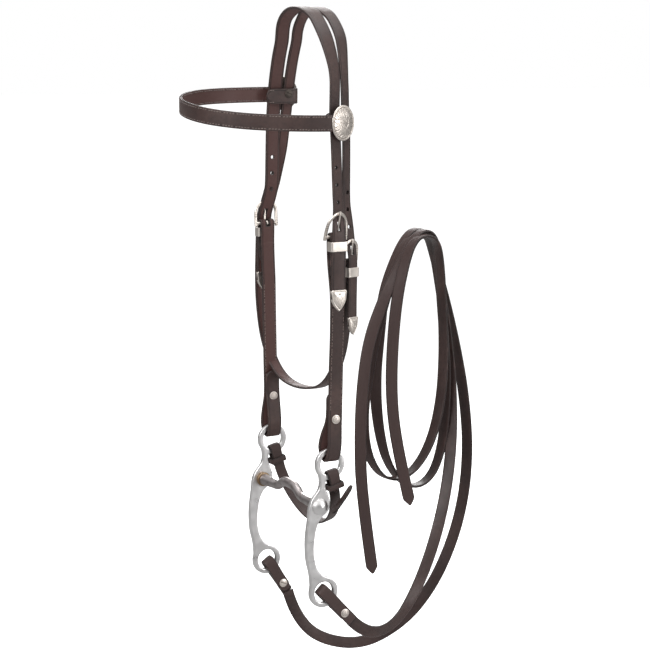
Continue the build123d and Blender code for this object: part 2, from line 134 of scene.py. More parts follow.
def make(name, verts, faces, material, body, slot, replaces=(), attributes=None, uvs=None, flat=()):
    mesh = bpy.data.meshes.new(name)
    mesh.from_pydata([tuple(v) for v in placed(verts, body)], [], faces)
    mesh.polygons.foreach_set("use_smooth", [i not in flat for i in range(len(faces))])
    for key, values in (attributes or {}).items():
        mesh.attributes.new(key, "FLOAT", "POINT").data.foreach_set("value", np.asarray(values, np.float32))
    if uvs is not None:
        layer = mesh.uv_layers.new(name="strap")
        index = np.zeros(len(mesh.loops), np.int32)
        mesh.loops.foreach_get("vertex_index", index)
        layer.data.foreach_set("uv", (np.asarray(uvs)[index] * MM).astype(np.float32).ravel())
    mesh.validate()
    mesh.update()
    piece = bpy.data.objects.new(name, mesh)
    bpy.context.scene.collection.objects.link(piece)
    mesh.materials.append(material)
    finish_piece(piece, body, slot, replaces)
    return piece


def finish_piece(piece, body, slot, replaces=()):
    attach(piece, body)
    if replaces:
        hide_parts(*replaces)


def frames(p, across, closed=False):
    """Tangents, width directions and outer normals along a line."""
    if closed:
        t = unit(np.roll(p, -1, 0) - np.roll(p, 1, 0))
    else:
        t = unit(np.gradient(p, axis=0))
    w = np.broadcast_to(np.asarray(across, float), p.shape)
    w = unit(w - (w * t).sum(1)[:, None] * t)
    return t, w, np.cross(t, w)


def skin(rows, columns, closed=False, capped=True):
    """Faces over rows of points, each row a ring. An open line's two ends come last."""
    faces = []
    for i in range(rows if closed else rows - 1):
        for k in range(columns):
            j, q = (i + 1) % rows, (k + 1) % columns
            faces.append((i * columns + k, i * columns + q, j * columns + q, j * columns + k))
    if capped and not closed:
        faces += [tuple(range(columns))[::-1], tuple((rows - 1) * columns + k for k in range(columns))]
    return faces


def end_factor(d, half, kind):
    """How much of a strap's width is left at this distance from an end."""
    if kind == "point":
        return np.clip((d + 1.2) / (1.2 + half * 1.15), 0, 1) ** 0.8
    if kind == "round":
        return np.sqrt(np.clip(1 - (1 - np.clip((d + 0.25) / half, 0, 1)) ** 2, 0.02, 1))
    return np.ones_like(d)


def ribbon(name, path, across, width, thick, material, body, slot, replaces=(), start=None, end=None,
           shift=0.0, crown=0.18, closed=False, face_cuts=8, relief=None):
    """A strap with rounded edges along a line. Its outer face is on the side of tangent x across."""
    depth, round_share = 0.22, 0.85  # of a relief's cuts, and of the edges' radius in half the thickness
    p = np.asarray(path, float)[:, :3]
    n = len(p)
    t, w, out = frames(p, across, closed)
    s = travelled(p)
    half = np.broadcast_to(np.asarray(width, float) / 2, (n,)).copy()
    ht = np.broadcast_to(np.asarray(thick, float) / 2, (n,)).copy()
    full = half.copy()
    half *= end_factor(s, full, start) * end_factor(s[-1] - s, full, end)
    r = np.minimum(ht * round_share, half * 0.8)
    cols, inner = [], []
    xs = np.linspace(-1, 1, face_cuts + 1)
    corner = np.radians(range(72, -73, -18))
    for sign, top in ((1, 1), (-1, -1)):
        for x in xs * sign:
            cols.append((x * (half - r), top * (ht - crown * x * x)))
            inner.append(0.0 if top > 0 else 1.0)
        for a in corner:
            a = a if top > 0 else a + math.pi
            cols.append((sign * (half - r) + r * np.cos(a), np.sin(a) * np.maximum(ht - crown, 0.2)))
            inner.append(0.5)
    m = len(cols)
    verts = np.zeros((n, m, 3))
    edge, across_mm, cut = np.zeros((3, n, m))
    for k, (a, b) in enumerate(cols):
        if relief is not None and inner[k] == 0.0:
            cut[:, k] = relief(s, a, p)
        verts[:, k] = p + w * a[:, None] + out * (b + shift - depth * cut[:, k])[:, None]
        edge[:, k] = half - np.abs(a)
        across_mm[:, k] = a
    faces = skin(n, m, closed)
    flat = () if closed else (len(faces) - 2, len(faces) - 1)
    values = {"edge": edge.ravel(), "inner": np.tile(inner, n), "cut": cut.ravel()}
    uvs = np.column_stack([np.repeat(s, m), across_mm.ravel()])
    return make(name, verts.reshape(-1, 3), faces, material, body, slot, replaces, values, uvs, flat)


def tube(path, wide, deep, ref, sides=18):
    """Vertices and faces of a tube with an elliptical section: wide along tangent x ref, deep along ref."""
    p = np.asarray(path, float)[:, :3]
    n = len(p)
    _, d, a = frames(p, ref)
    wide, deep = (np.broadcast_to(np.asarray(v, float), (n,)) for v in (wide, deep))
    ang = np.linspace(0, 2 * math.pi, sides, endpoint=False)
    verts = (p[:, None] + a[:, None] * (np.cos(ang)[None, :] * wide[:, None])[..., None]
             + d[:, None] * (np.sin(ang)[None, :] * deep[:, None])[..., None]).reshape(-1, 3)
    return verts, skin(n, sides)


def join(*parts):
    verts, faces, base = [], [], 0
    for v, f in parts:
        verts.append(v)
        faces += [tuple(i + base for i in face) for face in f]
        base += len(v)
    return np.vstack(verts), faces


def medallion(outline, rings, origin, facing, relief=None, depth=0.25):
    """A plate across Y whose outline shrinks through rings of (scale, height).

    It faces +Y (1) or -Y (-1). Returns vertices, faces and its engraving.
    """
    outline = np.asarray(outline, float)
    m = len(outline)
    verts, cuts = [], []
    for scale, height in [(0.0, 0.0), (1.0, 0.0), *rings]:
        q = outline * scale
        c = relief(q[:, 0], q[:, 1], scale) if relief and height > 0 else np.zeros(m)
        verts.append(np.column_stack([origin[0] + q[:, 0], origin[1] + (height - depth * c) * facing,
                                      origin[2] + q[:, 1]]))
        cuts.append(c)
    return np.vstack(verts), skin(len(verts), m, capped=False), np.concatenate(cuts)


def dome(rim, rise, steps, border=None):
    """Rings of a domed plate: a rounded rim, then a cap. border: (share, height, width) of a raised edge."""
    out = [(1.0, rim * 0.35), (0.997, rim * 0.7), (0.985, rim * 0.95)]
    for i in range(steps + 1):
        s = 0.97 * (1 - i / steps)
        h = rim + rise * (1 - (s / 0.97) ** 2)
        if border:
            h += border[1] * math.exp(-(((s - border[0]) / border[2]) ** 2))
        out.append((s, h))
    return out


def circle(radius, count):
    a = np.linspace(0, 2 * math.pi, count, endpoint=False)
    return np.column_stack([radius * np.cos(a), radius * np.sin(a)])


def plates(name, parts, material, body, slot, replaces=()):
    """One piece of several plates and plain parts, with their engraving where they have one."""
    verts, faces = join(*(part[:2] for part in parts))
    cuts = np.concatenate([part[2] if len(part) > 2 else np.zeros(len(part[0])) for part in parts])
    return make(name, verts, faces, material, body, slot, replaces, {"cut": cuts})


def post(a, b, r, sides=24):
    """A plain round post between two points, with softened ends."""
    a, b = np.asarray(a, float), np.asarray(b, float)
    t = unit(b - a)
    ref = np.cross(t, (0, 0, 1.0)) if abs(t[2]) < 0.9 else np.array([1.0, 0, 0])
    path = np.vstack([a, a + t * 0.3 * r, b - t * 0.3 * r, b])
    radius = np.array([0.8, 1, 1, 0.8]) * r
    return tube(path, radius, radius, ref, sides)


def cut_holes(piece, cutters):
    """Cuts round holes (centre, axis, radius, length) or boxes (centre, size) into a piece."""
    bm = bmesh.new()
    for c in cutters:
        made = bmesh.new()
        if len(c) == 4:
            bmesh.ops.create_cone(made, cap_ends=True, segments=24, radius1=c[2] * MM, radius2=c[2] * MM,
                                  depth=c[3] * MM)
            turn = Vector(c[1]).to_track_quat("Z", "Y").to_matrix().to_4x4()
            bmesh.ops.transform(made, matrix=turn, verts=made.verts)
        else:
            bmesh.ops.create_cube(made, size=1)
            bmesh.ops.scale(made, vec=Vector(c[1]) * MM, verts=made.verts)
        bmesh.ops.translate(made, vec=Vector(placed([c[0]], "headstall")[0]), verts=made.verts)
        temp = bpy.data.meshes.new("cutter")
        made.to_mesh(temp)
        bm.from_mesh(temp)
        made.free()
        bpy.data.meshes.remove(temp)
    mesh = bpy.data.meshes.new("cutters")
    bm.to_mesh(mesh)
    bm.free()
    tool = bpy.data.objects.new("cutters", mesh)
    bpy.context.scene.collection.objects.link(tool)
    mod = piece.modifiers.new("holes", "BOOLEAN")
    mod.operation, mod.solver, mod.object = "DIFFERENCE", "EXACT", tool
    bpy.context.view_layer.update()
    dg = bpy.context.evaluated_depsgraph_get()
    done = bpy.data.meshes.new_from_object(piece.evaluated_get(dg), preserve_all_data_layers=True, depsgraph=dg)
    piece.modifiers.clear()
    piece.data = done
    bpy.data.objects.remove(tool)


def stitches(name, path, across, lift, skip=None):
    """Short thread stitches in rows beside a strap's edges, on its outer face (lift > 0) or inner face."""
    p = np.asarray(path, float)[:, :3]
    t, w, out = frames(p, across)
    s = travelled(p)
    sides, rings = 6, ((-1, 0.35), (-0.7, 0.9), (0, 1.0), (0.7, 0.9), (1, 0.35))
    long, wide, high = STITCH_SIZE
    verts, faces = [], []
    draw = random.Random(name)
    for offset in STITCH_ROWS:
        for at in np.arange(STITCH_PITCH, s[-1] - STITCH_PITCH, STITCH_PITCH):
            i = int(np.searchsorted(s, at))
            if skip and skip(p[i]):
                continue
            c = p[i] + w[i] * (offset + draw.uniform(-0.05, 0.05)) + out[i] * lift
            along = unit(t[i] + w[i] * 0.12)
            side = np.cross(out[i], along)
            faces += [tuple(len(verts) + k for k in face) for face in skin(len(rings), sides)]
            for a, b in rings:
                for ang in (2 * math.pi * k / sides for k in range(sides)):
                    verts.append(c + along * a * long + side * b * wide * math.cos(ang)
                                 + out[i] * b * high * math.sin(ang))
    return make(name, verts, faces, THREAD, "headstall", "headstall_leather")


# ---------------------------------------------------------------- materials
def shader(name, roughness, metallic=0.0, **fixed):
    m = bpy.data.materials.new(name)
    m.use_nodes = True
    tree = m.node_tree
    bsdf = tree.nodes["Principled BSDF"]
    bsdf.inputs["Roughness"].default_value = roughness
    bsdf.inputs["Metallic"].default_value = metallic
    for key, value in fixed.items():
        bsdf.inputs[key.replace("_", " ")].default_value = value
    return m, tree, bsdf


def node(tree, kind, inputs=None, **settings):
    made = tree.nodes.new(kind)
    for key, value in settings.items():
        setattr(made, key, value)
    for key, value in (inputs or {}).items():
        if isinstance(value, bpy.types.NodeSocket):
            tree.links.new(value, made.inputs[key])
        else:
            made.inputs[key].default_value = value
    return made


def noise(tree, scale, detail=3.0, stretch=None):
    coords = node(tree, "ShaderNodeTexCoord").outputs["Object"]
    if stretch:
        coords = node(tree, "ShaderNodeMapping", {"Vector": coords, "Scale": stretch}).outputs[0]
    return node(tree, "ShaderNodeTexNoise", {"Vector": coords, "Scale": scale, "Detail": detail}).outputs["Fac"]


def ramp(tree, value, stops):
    made = node(tree, "ShaderNodeValToRGB", {"Fac": value})
    elements = made.color_ramp.elements
    while len(elements) < len(stops):
        elements.new(0.5)
    for e, (at, colour) in zip(elements, stops):
        e.position = at
        e.color = (*colour, 1) if hasattr(colour, "__len__") else (colour, colour, colour, 1)
    return made.outputs["Color"]


def mix(tree, factor, a, b):
    a, b = (c if isinstance(c, bpy.types.NodeSocket) else (*c, 1) for c in (a, b))
    return node(tree, "ShaderNodeMix", {0: factor, 6: a, 7: b}, data_type="RGBA").outputs[2]


def maths(tree, how, a, b=0.0):
    return node(tree, "ShaderNodeMath", {0: a, 1: b}, operation=how).outputs[0]


def times(tree, a, b):
    return maths(tree, "MULTIPLY", a, b)


def plus(tree, a, b):
    return maths(tree, "ADD", a, b)


def span(tree, value, low, high, to_low=0.0, to_high=1.0):
    return node(tree, "ShaderNodeMapRange", {"Value": value, "From Min": low, "From Max": high, "To Min": to_low,
                                             "To Max": to_high}, interpolation_type="SMOOTHSTEP").outputs[0]


def leather(name, base, light, inside, edge, roughness=0.46, creased=True):
    m, tree, bsdf = shader(name, roughness, Sheen_Weight=0.05, Sheen_Roughness=0.5, Coat_Weight=0.06,
                           Coat_Roughness=0.30, Specular_IOR_Level=0.34)
    bsdf.inputs["Sheen Tint"].default_value = (0.75, 0.6, 0.55, 1)
    attr = {k: node(tree, "ShaderNodeAttribute", attribute_name=k).outputs["Fac"] for k in ("edge", "inner")}
    broad, fine = noise(tree, 22, 4), noise(tree, 260)
    colour = mix(tree, span(tree, broad, 0.35, 0.7), base, light)
    colour = mix(tree, times(tree, span(tree, fine, 0.42, 0.75), 0.35), colour, edge)
    colour = mix(tree, span(tree, attr["inner"], 0.55, 0.95), colour, inside)
    colour = mix(tree, times(tree, span(tree, attr["edge"], 0.9, 0.1), 0.75), colour, edge)
    if creased:
        # Painted shade: a dark line along the crease groove 1.9 mm in from each edge, where the groove holds shade
        crease = maths(tree, "ABSOLUTE", maths(tree, "SUBTRACT", attr["edge"], 1.9))
        colour = mix(tree, times(tree, span(tree, crease, 0.62, 0.15), 0.85), colour, tuple(c * 0.45 for c in edge))
    worn = times(tree, span(tree, attr["edge"], 1.5, 0.5), span(tree, noise(tree, 75), 0.55, 0.75))
    colour = mix(tree, times(tree, worn, 0.4), colour, tuple(min(1, 2.1 * c) for c in light))
    tree.links.new(colour, bsdf.inputs["Base Color"])
    grain = node(tree, "ShaderNodeTexVoronoi",
                 {"Vector": node(tree, "ShaderNodeTexCoord").outputs["Object"], "Scale": 1150.0},
                 feature="DISTANCE_TO_EDGE").outputs["Distance"]
    pores = noise(tree, 1900, 2)
    height = plus(tree, times(tree, span(tree, grain, 0.0, 0.16), 0.55), times(tree, pores, 0.6))
    height = plus(tree, height, times(tree, noise(tree, 90), 1.2))
    if creased:
        away = maths(tree, "ABSOLUTE", maths(tree, "SUBTRACT", attr["edge"], 1.75))
        height = plus(tree, height, times(tree, span(tree, away, 0.34, 0.0), -2.6))
    bump = node(tree, "ShaderNodeBump", {"Height": height, "Strength": 0.55, "Distance": 0.00016})
    tree.links.new(bump.outputs[0], bsdf.inputs["Normal"])
    rough = span(tree, noise(tree, 48, 4), 0.3, 0.72, roughness - 0.07, roughness + 0.10)
    rough = plus(tree, rough, times(tree, span(tree, attr["inner"], 0.55, 0.95), 0.16))
    tree.links.new(rough, bsdf.inputs["Roughness"])
    return m


def metal(name, base, dark, roughness, scratch=0.08, engraved=0.0, tint=None):
    m, tree, bsdf = shader(name, roughness, metallic=1.0)
    colour = mix(tree, span(tree, noise(tree, 40, 4), 0.35, 0.72), base, tuple(c * 0.86 for c in base))
    if tint:
        colour = mix(tree, span(tree, noise(tree, 130, 5), 0.48, 0.68), colour, tint)
    if engraved:
        cut = node(tree, "ShaderNodeAttribute", attribute_name="cut").outputs["Fac"]
        colour = mix(tree, times(tree, span(tree, cut, 0.1, 0.9), engraved), colour, dark)
    tree.links.new(colour, bsdf.inputs["Base Color"])
    brushed = noise(tree, 500, stretch=(1, 1, 6))
    height = plus(tree, times(tree, brushed, 0.6), noise(tree, 210))
    bump = node(tree, "ShaderNodeBump", {"Height": height, "Strength": scratch, "Distance": 0.0002})
    tree.links.new(bump.outputs[0], bsdf.inputs["Normal"])
    tree.links.new(span(tree, noise(tree, 160, 4), 0.3, 0.75, roughness - 0.06, roughness + 0.12),
                   bsdf.inputs["Roughness"])
    return m


LEATHER_OUT = leather("headstall_leather", (0.026, 0.0135, 0.0118), (0.044, 0.0235, 0.0200),
                      (0.050, 0.0200, 0.0170), (0.011, 0.0060, 0.0054))
REIN_LEATHER = leather("rein_leather", (0.021, 0.0110, 0.0098), (0.036, 0.0195, 0.0170),
                       (0.034, 0.0175, 0.0155), (0.009, 0.0052, 0.0048), roughness=0.38, creased=False)
CURB_LEATHER = leather("curb_leather", (0.018, 0.0100, 0.0088), (0.028, 0.0160, 0.0140),
                       (0.030, 0.0160, 0.0140), (0.008, 0.0050, 0.0046), creased=False)
THREAD, _tree, _bsdf = shader("thread", 0.62, Sheen_Weight=0.3)
_tree.links.new(ramp(_tree, noise(_tree, 800, 2), [(0.35, (0.075, 0.048, 0.040)), (0.7, (0.140, 0.095, 0.080))]),
                _bsdf.inputs["Base Color"])
SILVER = metal("nickel_silver", (0.80, 0.735, 0.675), (0.20, 0.16, 0.13), 0.38, engraved=0.8)
# Painted shade: a dark copy of the nickel silver for the concho backs and their screws, which sit in shade behind the
# straps
NICKEL_PAINTED_SHADE = metal("nickel_painted_shade", (0.10, 0.085, 0.075), (0.05, 0.04, 0.035), 0.5)
SCREW = metal("screw_nickel", (0.84, 0.76, 0.70), (0.22, 0.18, 0.15), 0.42, engraved=0.8)
STEEL = metal("bit_steel", (0.86, 0.845, 0.84), (0.3, 0.3, 0.3), 0.33, scratch=0.035)
IRON = metal("mouthpiece_iron", (0.40, 0.365, 0.36), (0.1, 0.1, 0.1), 0.36, scratch=0.2,
             tint=(0.27, 0.235, 0.23))
BROWNED = metal("browned_iron", (0.27, 0.185, 0.115), (0.1, 0.06, 0.03), 0.45, scratch=0.3,
                tint=(0.40, 0.30, 0.20))


# ---------------------------------------------------------------- generic engraving
def groove(value, half):
    """1 in the middle of a line where value is 0, falling to 0 at half its width."""
    return 1 - smoothstep(np.abs(value), half * 0.35, half)


def vines(x, y, pitch):
    """A generic leafy scroll that runs along x: one waving stem with paired curls."""
    stem = groove(y - 0.30 * pitch * np.sin(2 * math.pi * x / pitch), 0.22)
    phase = (x / pitch * 2) % 1 - 0.5
    flip = np.where((np.floor(x / pitch * 2) % 2) == 0, 1.0, -1.0)
    r = np.hypot(phase * pitch / 2, y - flip * 0.28 * pitch)
    angle = np.arctan2(y - flip * 0.28 * pitch, phase * pitch / 2) * flip
    curl = np.sin(angle - r * 5.2)
    return np.maximum(stem, groove(curl, 0.5) * (r < pitch * 0.30))


def rosette(radius):
    """A generic flower in a ring of leaves inside a roped rim, for a round plate of this radius."""
    def relief(x, y, scale):
        r, a = np.hypot(x, y) / radius, np.arctan2(y, x)
        rope = groove(np.sin(28 * a + 40 * (r - 0.9)), 0.55) * (r > 0.875) * (r < 0.97)
        rings = np.maximum(groove((r - 0.86) * radius, 0.3), groove((r - 0.30) * radius, 0.25))
        petals = groove(np.sin(4 * a) * 2.1 * r * 4, 0.42) * (r < 0.29) * (r > 0.07)
        wave = np.sin(5 * a + 0.9 * np.sin(7 * r))
        leaf = np.abs(wave)
        edge = groove(leaf - (0.25 + 1.1 * np.clip(r - 0.3, 0, 0.5)), 0.11) * (r > 0.33) * (r < 0.84)
        vein = groove(wave * 2.2, 0.22) * (r > 0.36) * (r < 0.72)
        small = groove(np.sin(11 * a - 16 * r), 0.26) * (leaf > 0.72) * (r > 0.5) * (r < 0.82)
        return np.clip(np.maximum.reduce([rope, rings, petals, edge, vein * 0.8, small * 0.7]), 0, 1)
    return relief


def starburst(radius, rays=8):
    def relief(x, y, scale):
        r, a = np.hypot(x, y) / radius, np.arctan2(y, x)
        star = groove(np.sin(rays / 2 * a) * 2.0, 0.5) * (r < 0.62) * (r > 0.12)
        return np.clip(np.maximum(star, groove((r - 0.72) * radius, 0.3)), 0, 1)
    return relief


def slotted(radius):
    def relief(x, y, scale):
        r = np.hypot(x, y) / radius
        return groove(y * 0.9 + x * 0.35, 0.75) * (r < 0.86)
    return relief


# ---------------------------------------------------------------- buckle sets
BUCKLES = {
    "cheek": {"x": FRONT_X, "width": STRAP, "bar": (77.0, -229.5), "r": 11.9, "arch_z": -218.5,
              "below": 83.4, "tip_z": -282.0, "tip_long": 21.0, "keeper_z": -238.9, "holes": -193.0},
    "throat": {"x": REAR_X, "width": THROAT, "bar": (73.0, -257.0), "r": 8.9, "arch_z": -243.8,
               "below": 79.4, "tip_z": -311.0, "tip_long": 18.0, "keeper_z": -266.0, "holes": -221.4},
}
SETS = (("cheek", "near"), ("cheek", "far"), ("throat", "near"))
LEAN = 0.17  # how far a frame leans outwards, in mm per mm above its bar
BAND = 9.6  # the height of a metal keeper


def leaned(b, out, z):
    return out + LEAN * (z - b["bar"][1])


def scroll_band(height):
    """Engraving of a keeper's front: a vine between border lines, with a pair of bars in the middle."""
    def relief(s, a, p):
        x, out = p[:, 0] - p[:, 0].mean(), np.abs(p[:, 1])
        front = smoothstep(out, out.max() - 0.5, out.max() - 0.1)
        border = groove(np.abs(a) - (height / 2 - 1.0), 0.28)
        bars = groove(np.abs(x) - 1.5, 0.28)
        vine = vines(x + 2.4, a, 4.8) * (np.abs(a) < height / 2 - 1.4) * (np.abs(x) > 2.0)
        return np.clip(np.maximum.reduce([border, bars * 0.9, vine]), 0, 1) * front
    return relief


def shield(half, long):
    """The outline of a strap tip: straight sides with a nicked top corner, curving in to a point below."""
    side = [(0.0, 0.3), (half * 0.55, 0.0), (half * 0.86, 0.25), (half, -1.0)]
    side += [(half * (1 - 0.02 * k), -1.0 - k * 0.16 * long / 2) for k in range(1, 5)]
    curve = [(half * math.cos(k / 10 * math.pi / 2) ** 0.85 * 0.92, -0.37 * long - 0.63 * long * (k / 10) ** 1.15)
             for k in range(1, 10)]
    right = side + curve + [(0.0, -long)]
    line = np.array(right + [(-x, y) for x, y in right[-2:0:-1]])
    return resample(np.column_stack([np.vstack([line, line[:1]]), np.zeros(len(line) + 1)]), 0.42)[:-1, :2]


def tip_relief(half, long, middle):
    """Engraving of a strap tip: a border, and a leaf between curls below its top."""
    def relief(x, y, scale):
        y = y + middle
        border = groove(scale - 0.83, 0.035)
        swell = np.clip((y + long) / long * 1.6, 0, 1) * (1 + 0.35 * np.cos(y * 1.5))
        leaf = groove(np.abs(x) - 0.30 * half * swell, 0.25)
        vein = groove(x, 0.18) * (y < -0.36 * long)
        curls = groove(np.sin(1.7 * np.abs(x) - 1.5 * y), 0.3) * (np.abs(x) > 0.42 * half)
        inside = (scale < 0.78) & (y < -0.30 * long)
        return np.clip(np.maximum(border, np.maximum.reduce([leaf, vein, curls * 0.8]) * inside), 0, 1)
    return relief


for kind, side_name in SETS:
    b, side = BUCKLES[kind], SIDES[side_name]
    x, (bar_out, bar_z), r = b["x"], b["bar"], b["r"]
    label = f"{kind}_{{}}_{side_name}"

    # Frame: a rounded arch with an edge rope, and its bar
    arch = [(r, bar_z - 3.2), (r + 0.25, b["arch_z"] - 6), *arc(0, b["arch_z"], r, 0, 180, 16),
            (-r - 0.25, b["arch_z"] - 6), (-r, bar_z - 3.2)]
    line = smooth([(x + px, side * leaned(b, bar_out, pz), pz) for px, pz in arch], 0.6, 3)
    s = np.linspace(0, 1, len(line))
    twist = np.sin(s * 2 * math.pi * 38)
    rope = tube(line, 1.75 + 0.06 * twist, 1.35 + 0.05 * twist, (0, side, 0), 20)
    cut = 0.5 + 0.5 * twist
    cut = np.repeat(np.where(cut < 0.18, 1 - cut / 0.18, 0.0), 20) * 0.9
    bar = post((x - r - 0.6, side * bar_out, bar_z), (x + r + 0.6, side * bar_out, bar_z), 1.6)
    plates(label.format("frame"), [(*rope, cut), bar], SILVER, "headstall", "nickel_silver", [label.format("buckle")])

    # Tongue: a coil round the bar, rising through the strap to rest on the arch
    top = b["arch_z"] + r
    coil = [(bar_out + 2.55 * math.cos(a), bar_z + 2.55 * math.sin(a)) for a in np.radians(np.arange(-250, 21, 20))]
    blade = [(bar_out + 3.6, bar_z + 4.5), (leaned(b, bar_out, top - 9) + 2.4, top - 9),
             (leaned(b, bar_out, top) + 2.75, top - 0.5), (leaned(b, bar_out, top) + 2.7, top + 2.4)]
    line = smooth([(x, side * o, z) for o, z in coil + blade], 0.7, 3)
    s = np.linspace(0, 1, len(line))
    wide = np.interp(s, [0, 0.35, 0.9, 1], [1.15, 1.2, 1.05, 0.5])
    deep = np.interp(s, [0, 0.4, 0.9, 1], [0.75, 0.95, 0.9, 0.45])
    make(label.format("prong"), *tube(line, wide, deep, (0, side, 0.01), 14), SILVER, f"tongue_{kind}_{side_name}",
         "nickel_silver", [label.format("tongue")])

    # Keeper: a flat engraved band round all the layers
    corner = 1.3
    low, high, hw = bar_out - 0.25 + corner, b["below"] + LEATHER / 2 + 0.85 - corner, b["width"] / 2 + 0.95 - corner
    loop = []
    for cx, cy, start in ((hw, high, 0), (-hw, high, 90), (-hw, low, 180), (hw, low, 270)):
        loop += arc(cx, cy, corner, start, start + 90, 6)
    loop = np.array([(x + px, side * po, b["keeper_z"]) for px, po in loop + loop[:1]])
    loop = resample(loop, 0.4)[:-1]
    ribbon(label.format("band"), loop, (0, 0, -side), BAND, 1.1, SILVER, "headstall", "nickel_silver",
           [label.format("keeper")], closed=True, face_cuts=30, relief=scroll_band(BAND), crown=0.05)

    # Tip: an engraved shield with a small rivet, and its back plate
    half, long = b["width"] / 2 + 0.45, b["tip_long"]
    outer, tip_z, middle = b["below"] + LEATHER / 2, b["tip_z"], -0.44 * long
    outline = shield(half, long) - (0, middle)
    front = medallion(outline, dome(0.75, 1.1, 34, border=(0.93, 0.22, 0.04)),
                      (x, side * outer - side * 0.15, tip_z + middle), side, tip_relief(half, long, middle), 0.2)
    rivet = medallion(circle(1.35, 24), dome(0.25, 0.65, 7), (x, side * (outer + 1.35), tip_z - 3.4), side)
    shell = medallion(outline, [(1.0, 3.4), (0.985, 3.9), (0.9, 3.95), (0.0, 3.95)],
                      (x, side * (outer + 0.3), tip_z + middle), -side)
    plates(label.format("shield"), [front, rivet, shell], SILVER, "headstall", "nickel_silver", [label.format("tip")])

# ---------------------------------------------------------------- crown
ARCH = [(19, -7.8), (34.5, -18.6), (48.5, -38), (58.5, -61.5), (66, -92), (70.8, -126)]
CHEEK_BILLET = ARCH + [(73.0, -160), (74.4, -186), (77.0, -203), (80.4, -215), (83.2, -226), (83.9, -238),
                       (83.4, -258), (83.2, -275), (83.4, -291)]
THROAT_BILLET = ARCH + [(70.4, -160), (69.4, -205), (72.4, -230), (76.0, -241), (79.2, -251), (79.9, -262),
                        (79.4, -285), (79.2, -300), (79.4, -320)]
FAR_REAR = ARCH[:-1] + [(70.8, -122), (75.5, -152), (84, -180), (90.9, -203), (92.2, -236)]
# The far rear branch's depth below the poll, and how far forward of the near one it lies there
DRIFT_AT, DRIFT = [5, 30, 60, 110, 150, 190, 236], [0, -3.0, -3.6, -4.8, -7.5, -11.5, -14.5]


def over_poll(near, far):
    """Y and Z of a whole strap, from its near end over the poll to its far end."""
    return [(-o, z) for o, z in reversed(near)] + [(0, -4.8)] + list(far)


# grow: the width that a branch gains where the two join over the poll. inwards, fuller: how far its near
# side moves to the rear lower down, and at the shoulder
for label, near, far, x, width, replaced, stop, grow, inwards, fuller in (
        ("crown_front", CHEEK_BILLET, CHEEK_BILLET, FRONT_X, STRAP, ["crown"], None, 3.0, 1.0, 4.2),
        ("crown_rear", THROAT_BILLET, FAR_REAR, REAR_X, THROAT, (), "round", 3.1, -1.6, 1.4)):
    line = smooth([(x, y, z) for y, z in over_poll(near, far)], 1.5, 4)
    whole = (1 - smoothstep(np.abs(line[:, 1]), 14, 34)) * (line[:, 2] > -60)
    line[:, 0] += whole * grow / 2 * (1 if label == "crown_front" else -1)
    line[:, 0] += 0.5 * np.sin(line[:, 2] / 41.0) * smoothstep(-line[:, 2], 60, 120)
    down = smoothstep(-line[:, 2], 20, 70) * (1 - smoothstep(-line[:, 2], 180, 225))
    line[:, 0] += smoothstep(-line[:, 1], 30, 55) * down * inwards
    full = smoothstep(-line[:, 1], 6, 34) * (1 - smoothstep(-line[:, 2], 62, 118))
    line[:, 0] += full * fuller
    line[:, 1] -= full * smoothstep(-line[:, 2], 12, 40) * 3.4
    if label == "crown_rear":
        line[:, 2] -= 0.35 * whole
        line[:, 0] += np.interp(-line[:, 2], DRIFT_AT, DRIFT) * (line[:, 1] > 0)
    strap = ribbon(label, line, (-1, 0, 0), width + whole * grow, LEATHER, LEATHER_OUT, "headstall",
                   "headstall_leather", replaced, end=stop)
    holes = []
    for kind, side_name in SETS:
        b, side = BUCKLES[kind], SIDES[side_name]
        if b["x"] == x:
            # The near front branch is turned where its holes are
            drop, axis = (2.6, (0.387, -0.922, 0)) if (kind, side_name) == ("cheek", "near") else (0, (0, 1, 0))
            out = np.interp(-b["holes"] + drop, [160, 205], [73, 76])
            holes += [((x, side * out, b["holes"] - drop + 17 * k), axis, 2.0, 14) for k in range(3)]
            holes.append(((x, side * 79, b["arch_z"] - 0.5), (3.6, 30, 9)))
    cut_holes(strap, holes)

# ---------------------------------------------------------------- cheekpieces
bar_out, bar_z = BUCKLES["cheek"]["bar"]
LOW = EYE[1] + 4.6  # the strap's middle where it goes through the eye


def hung(name, x, z):
    """X of a cheekpiece that hangs a little to the rear of its buckle."""
    return x + smoothstep(-z, 244, 300) * (1 - 0.6 * smoothstep(-z, 438, 462)) * HANG[name]


